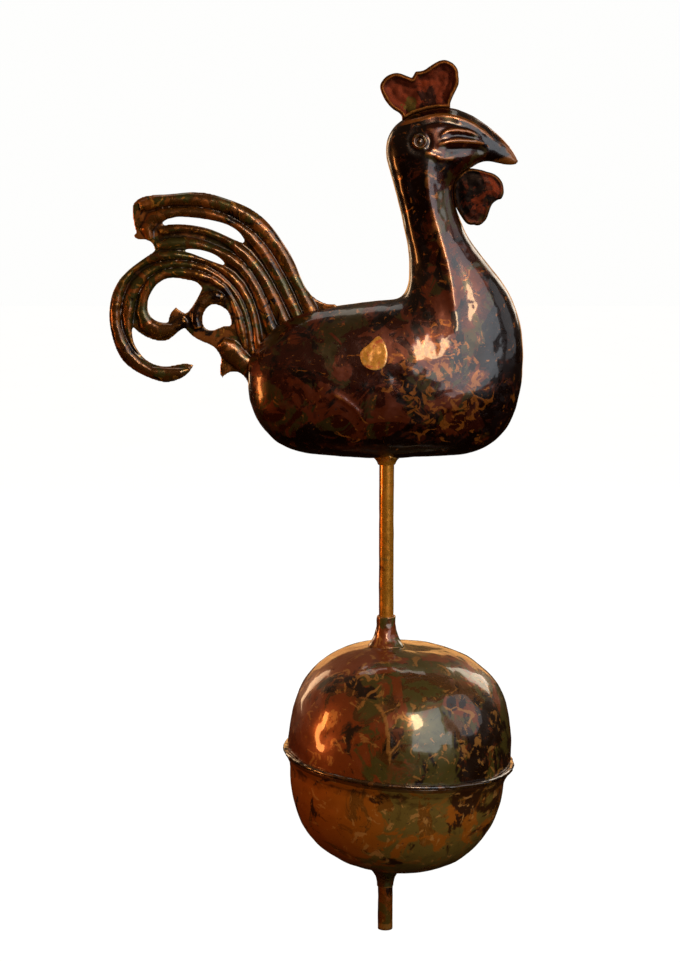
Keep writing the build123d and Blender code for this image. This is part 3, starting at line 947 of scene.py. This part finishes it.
# %% [markdown]
# ## Gloss and relief of the patina
# Rusty and green patches are duller than bare copper, and pits are dullest.
# The height is only for the fine grain that faces are too large to hold.

# %% Roughness and height
LEAST_ROUGH = 0.24


def total(start, rows):
    """A start value with each mask added at its strength."""
    for mask, strength in rows:
        start = plus(patina, start, times(patina, mask, strength))
    return start


rough = total(LEAST_ROUGH, [
    (masks["Warm"], 0.10),
    (masks["Olive"], 0.05),
    (step_up(patina, small, 0.45, 0.65), 0.12),
    (pits, 0.3),
])
height = total(0.0, [
    (cloud(patina, where, 75.0, 2.0, 0.4), 1.0),
    (cloud(patina, where, 260.0, 3.0, 0.6), 0.16),
    (pits, -0.10),
    (masks["Warm"], 0.05),
])
patina.links.new(rough, outlet["Roughness"])
patina.links.new(height, outlet["Height"])
print("patina group", len(patina.nodes), "nodes")

# %% [markdown]
# ## Finishes for each part
# The same group is placed in every material with its own tones.  The shader
# and its gloss stay in the material: a thin clear coat stands for the waxy
# skin that old copper gets outdoors.

# %% Make a finish
COAT_ROUGH = 0.06
RELIEF_DEPTH = 1.2 * MM


def finish(name, base, dark, warm, olive, bright, amounts, size=30.0, metal=0.35, relief=0.35,
           coat=1.0, shape=None, has_crest=True, matte=0.0):
    """A finish with amounts of dark, warm, olive and bright, which shape may vary by place."""
    material = bpy.data.materials.new(name)
    material.use_nodes = True
    tree = material.node_tree
    where = add(tree, "ShaderNodeTexCoord").outputs["Object"]
    crest = 0.5
    if has_crest:
        crest = add(tree, "ShaderNodeAttribute", attribute_name="crest").outputs["Fac"]
    shares = shape(tree, where, list(amounts)) if shape else amounts
    inputs = {"Vector": where, "Size": size, "Base": tone(base), "Dark": tone(dark),
              "Warm": tone(warm), "Olive": tone(olive), "Bright": tone(bright),
              "Dark Amount": shares[0], "Warm Amount": shares[1], "Olive Amount": shares[2],
              "Bright Amount": shares[3], "Crest": crest}
    made = add(tree, "ShaderNodeGroup", inputs, node_tree=patina).outputs
    grain = add(tree, "ShaderNodeBump",
                {"Height": made["Height"], "Strength": relief, "Distance": RELIEF_DEPTH})
    shader = tree.nodes["Principled BSDF"]
    tree.links.new(made["Color"], shader.inputs["Base Color"])
    tree.links.new(plus(tree, made["Roughness"], matte), shader.inputs["Roughness"])
    tree.links.new(grain.outputs["Normal"], shader.inputs["Normal"])
    shader.inputs["Metallic"].default_value = metal
    shader.inputs["Coat Weight"].default_value = coat
    shader.inputs["Coat Roughness"].default_value = COAT_ROUGH
    return material


print("finish tool ready")

# %% [markdown]
# ## Painted shade and light by place
# Painted shade darkens the bird underneath, on its nape and on its breast, and
# a painted lit patch brightens one side.  The ball is rusty towards the tail,
# partly as a painted warm reflection, and painted dark green towards the head as
# painted shade.  Painting that by hand needs a texture, so the share of each
# tone is shifted by place instead, in metres.

# %% Shares by place
def painted_shade_and_glow(tree, where, shares):
    """Painted shade under the bird, on its nape and breast, and a painted lit patch on its side.
    """
    apart = add(tree, "ShaderNodeSeparateXYZ", {0: where}).outputs
    x, z = apart["X"], apart["Z"]
    under = step_up(tree, z, 0.488, 0.466)
    nape = times(tree, step_up(tree, z, 0.575, 0.62), step_up(tree, x, 0.042, 0.028))
    breast = step_up(tree, x, 0.080, 0.100)
    throat = step_up(tree, z, 0.600, 0.650)
    # Painted shade under the belly, on the nape and on the breast.
    painted_shade_mask = calc(tree, "MAXIMUM", calc(tree, "MAXIMUM", under, nape), breast)
    spot = add(tree, "ShaderNodeCombineXYZ", {"X": x, "Z": z}).outputs[0]
    gap = add(tree, "ShaderNodeVectorMath", {0: spot, 1: (0.046, 0.0, 0.520)},
              operation="DISTANCE").outputs["Value"]
    # Painted light: a lit patch on the side, more olive and bright.
    painted_glow = step_up(tree, gap, 0.062, 0.022)
    dark, warm, olive, bright = shares
    return [
        plus(tree, dark, times(tree, painted_shade_mask, 0.55)),
        plus(tree, warm, times(tree, throat, -0.30)),
        plus(tree, olive, times(tree, painted_glow, 0.22)),
        plus(tree, bright, times(tree, painted_glow, 0.26)),
    ]


def rust_and_painted_light(tree, where, shares):
    """Rust on the tail's side of the ball, partly a painted warm reflection, and painted shade in
    dark green on the head's side.
    """
    x = add(tree, "ShaderNodeSeparateXYZ", {0: where}).outputs["X"]
    # Rust towards the tail, partly a painted reflection of the warm lamp.
    left = step_up(tree, x, 0.0, -0.06)
    # Painted shade: darker towards the head.
    right = step_up(tree, x, 0.03, 0.09)
    dark, warm, olive, bright = shares
    return [
        plus(tree, dark, times(tree, right, 0.3)),
        plus(tree, warm, times(tree, left, 0.5)),
        plus(tree, olive, times(tree, left, -0.25)),
        bright,
    ]


print("places ready")

# %% [markdown]
# ## Tones of the bird
# Each row has the base, dark, warm, olive and bright tones and how much there
# is of the last four.  The bird is the darkest and glossiest, its tail is
# browner, and the comb and wattles are dull.

# %% Finishes of the bird
body_finish = finish("body_copper", "360f03", "120300", "5a2104", "3a2e10", "96561c",
                     (0.34, 0.44, 0.42, 0.18), size=24.0, metal=0.5, coat=0.6,
                     shape=painted_shade_and_glow)
tail_finish = finish("tail_copper", "5a350c", "1a0800", "80460f", "463f14", "c0802e",
                     (0.28, 0.42, 0.48, 0.20), size=32.0, metal=0.6, coat=0.45)
comb_finish = finish("comb_copper", "4e1c0a", "200a04", "64240a", "40320e", "6a4014",
                     (0.24, 0.32, 0.30, 0.04), size=26.0, metal=0.9, relief=0.12, coat=0.0,
                     matte=0.2)
wattle_finish = finish("wattle_copper", "2e1208", "0c0402", "501c08", "30240c", "50300f",
                       (0.50, 0.35, 0.20, 0.04), size=34.0, metal=0.9, relief=0.12, coat=0.0,
                       matte=0.14)
patch_finish = finish("patch_copper", "cc8a30", "9a5414", "b04c10", "a87c2e", "e8ae5c",
                      (0.10, 0.28, 0.25, 0.12), size=50.0, metal=0.25, relief=0.2)
eye_finish = finish("eye_copper", "56300f", "1c0600", "7a4216", "52481c", "906428",
                    (0.2, 0.35, 0.3, 0.06), size=70.0)
print("finishes so far", len(bpy.data.materials))

# %% [markdown]
# ## Tones of the ball and the rods
# The bowl faces away from the windows, so its tones are painted lighter than
# the dome's, as painted light: brighter lamps below would also light the bird's
# dark belly.  The sleeve is rubbed brass, the stub is rusty iron, and the parts
# inside are plain metal.

# %% Finishes of the ball and the rods
ball_finish = finish("ball_copper", "563410", "201004", "783507", "50471a", "a87234",
                     (0.24, 0.36, 0.62, 0.26), size=19.0, coat=0.8, shape=rust_and_painted_light)
# Painted light: the dome's copper with lighter tones, standing in for light the bowl does not
# get.
bowl_painted_light_finish = finish("bowl_copper_painted_light", "84521a", "3c200a", "aa5f14", "7c642a", "c88c48",
                     (0.24, 0.36, 0.56, 0.26), size=19.0, coat=0.6, shape=rust_and_painted_light)
rim_finish = finish("rim_copper", "3e2810", "120600", "643a12", "383014", "8e662c",
                    (0.42, 0.35, 0.3, 0.10))
sleeve_finish = finish("sleeve_brass", "cc8828", "7a4814", "cc8022", "9a7630", "e6ac54",
                       (0.06, 0.35, 0.15, 0.06), size=44.0, metal=0.6, relief=0.06)
stub_finish = finish("stub_iron", "78420f", "301404", "90480e", "5c4a18", "a87030",
                     (0.26, 0.35, 0.30, 0.08), metal=0.5, relief=0.2)
hidden_finish = finish("inner_metal", "5a5048", "2a2420", "7a5a3a", "5a5a44", "a09080",
                       (0.25, 0.2, 0.2, 0.1), size=60.0, metal=0.8, coat=0.0,
                       has_crest=False)
print("finishes in all", len(bpy.data.materials))

# %% [markdown]
# ## Laying the finishes on
# Each row names the model's own material slot, then the finish and the pieces
# that wear it.

# %% Lay on the finishes
def wear(piece, material):
    piece.data.materials.clear()
    piece.data.materials.append(material)


FINISHES = [
    ("body_copper", body_finish, skin_right, skin_left),
    ("tail_copper", tail_finish, tail),
    ("comb_copper", comb_finish, comb),
    ("wattle_copper", wattle_finish, wattle_right, wattle_left),
    ("ball_copper", ball_finish, dome),
    ("ball_copper", bowl_painted_light_finish, bowl),
    ("collar_copper", ball_finish, top_collar, bottom_collar),
    ("rim_copper", rim_finish, rim),
    ("tube_brass", sleeve_finish, sleeve),
    ("patch_copper", patch_finish, patch),
    ("eye_copper", eye_finish, eye_right, eye_left),
    ("body_copper", sleeve_finish, belly_collar),
    ("spindle_iron", stub_finish, mast_rod),
]
INNER_NODES = ("stop_washer", "ball_core_tube", "ball_top_stay", "ball_bottom_stay",
               "pivot_cup", "lower_bush", "upper_brace", "lower_brace")
for slot_name, material, *pieces in FINISHES:
    for piece in pieces:
        wear(piece, material)
for name in INNER_NODES:
    wear(nodes[name], hidden_finish)
print("rows of finishes", len(FINISHES), "inner pieces", len(INNER_NODES))

# %% [markdown]
# ## A plain room
# A pale backdrop keeps the eye on the vane, but a pale room would wash out
# the metal.  The Light Path node tells the two apart: the camera sees the
# backdrop, and the metal sees a dim warm room.

# %% World
BACKDROP = (0.99, 0.99, 0.98, 1)
world = bpy.data.worlds.new("room")
scene.world = world
world.use_nodes = True
tree = world.node_tree
tree.nodes.clear()
ray_way = add(tree, "ShaderNodeTexCoord").outputs["Generated"]
upward = add(tree, "ShaderNodeSeparateXYZ", {0: ray_way}).outputs["Z"]
room = blend(tree, step_up(tree, upward, -0.25, 0.5), tone("1c0e06"), tone("5c4a3a"))
seen = add(tree, "ShaderNodeLightPath").outputs["Is Camera Ray"]
dim = add(tree, "ShaderNodeBackground", {"Color": room, "Strength": 1.0}).outputs[0]
pale = add(tree, "ShaderNodeBackground", {"Color": BACKDROP, "Strength": 1.0}).outputs[0]
mixed = add(tree, "ShaderNodeMixShader", {0: seen, 1: dim, 2: pale}).outputs[0]
add(tree, "ShaderNodeOutputWorld", {"Surface": mixed})
scene.view_settings.view_transform = "Standard"
print("world nodes", len(tree.nodes))

# %% [markdown]
# ## Windows and lamps
# Old copper gets its depth from what it mirrors: one broad cool window, a warm
# lamp in front of it, and a small orange lamp low on the left.  Dim lamps
# behind keep the back from going black.  Area lamps are used, because a point
# lamp would mirror as a dot.

# %% Lights
LIT_POINT = Vector((0.0, 0.0, 0.4))
# Name, turn to the right and rise in degrees, distance, width, height, colour, watts.
LAMPS = [
    ("window", 31, 19, 2.5, 1.8, 2.1, (0.84, 0.92, 1.0), 33),
    ("lamp_front", 15, 24, 2.3, 0.26, 0.74, (1.0, 0.66, 0.34), 16),
    ("window_side", 78, 20, 2.6, 1.5, 1.7, (0.92, 0.95, 1.0), 8),
    ("lamp_left", -84, 0, 1.5, 0.24, 0.42, (1.0, 0.36, 0.09), 7),
    ("lamp_back", 180, 4, 2.6, 2.2, 0.8, (1.0, 0.46, 0.14), 8),
    ("window_back", -170, 68, 2.6, 1.8, 0.9, (1.0, 0.95, 0.88), 9),
    ("lamp_back_left", -140, 12, 2.4, 0.5, 1.4, (1.0, 0.66, 0.38), 10),
    ("lamp_back_right", 140, 22, 2.4, 0.9, 1.2, (1.0, 0.86, 0.70), 12),
]
for name, turn, rise, distance, width, tall, color, energy in LAMPS:
    data = bpy.data.lights.new(name, "AREA")
    data.shape = "RECTANGLE"
    data.size, data.size_y = width, tall
    data.color, data.energy = color, energy
    light = bpy.data.objects.new(name, data)
    a, b = math.radians(turn), math.radians(rise)
    offset = Vector((math.sin(a) * math.cos(b), -math.cos(a) * math.cos(b), math.sin(b)))
    light.location = LIT_POINT + offset * distance
    light.rotation_euler = (-offset).to_track_quat("-Z", "Y").to_euler()
    scene.collection.objects.link(light)
print("lamps", len(LAMPS))

# %% [markdown]
# ## The floor
# The floor has to look as pale as the backdrop from every side, so it glows a
# little by itself and hides from reflections.  A bare lit plane would be grey
# in front and show a horizon.

# %% Floor
FLOOR_SIZE, FLOOR_GLOW = 14, 1.03
PALE_LOW, PALE_HIGH = (0.95, 0.95, 0.94, 1), (0.97, 0.97, 0.96, 1)
bpy.ops.mesh.primitive_plane_add(size=FLOOR_SIZE, location=(0, 0, low.z))
floor = bpy.context.object
floor.name = "studio_floor"
floor_paint = bpy.data.materials.new("floor_paint")
floor_paint.use_nodes = True
floor_tree = floor_paint.node_tree
grain = cloud(floor_tree, add(floor_tree, "ShaderNodeTexCoord").outputs["Object"], 9.0)
floor_shader = floor_tree.nodes["Principled BSDF"]
floor_tree.links.new(blend(floor_tree, grain, PALE_LOW, PALE_HIGH),
                     floor_shader.inputs["Emission Color"])
floor_shader.inputs["Base Color"].default_value = (0.12, 0.12, 0.12, 1)
floor_shader.inputs["Emission Strength"].default_value = FLOOR_GLOW
floor_shader.inputs["Roughness"].default_value = 0.9
floor_shader.inputs["Specular IOR Level"].default_value = 0.0
floor.data.materials.append(floor_paint)
floor.visible_glossy = False
floor.visible_diffuse = False
print("floor at", round(low.z, 4))
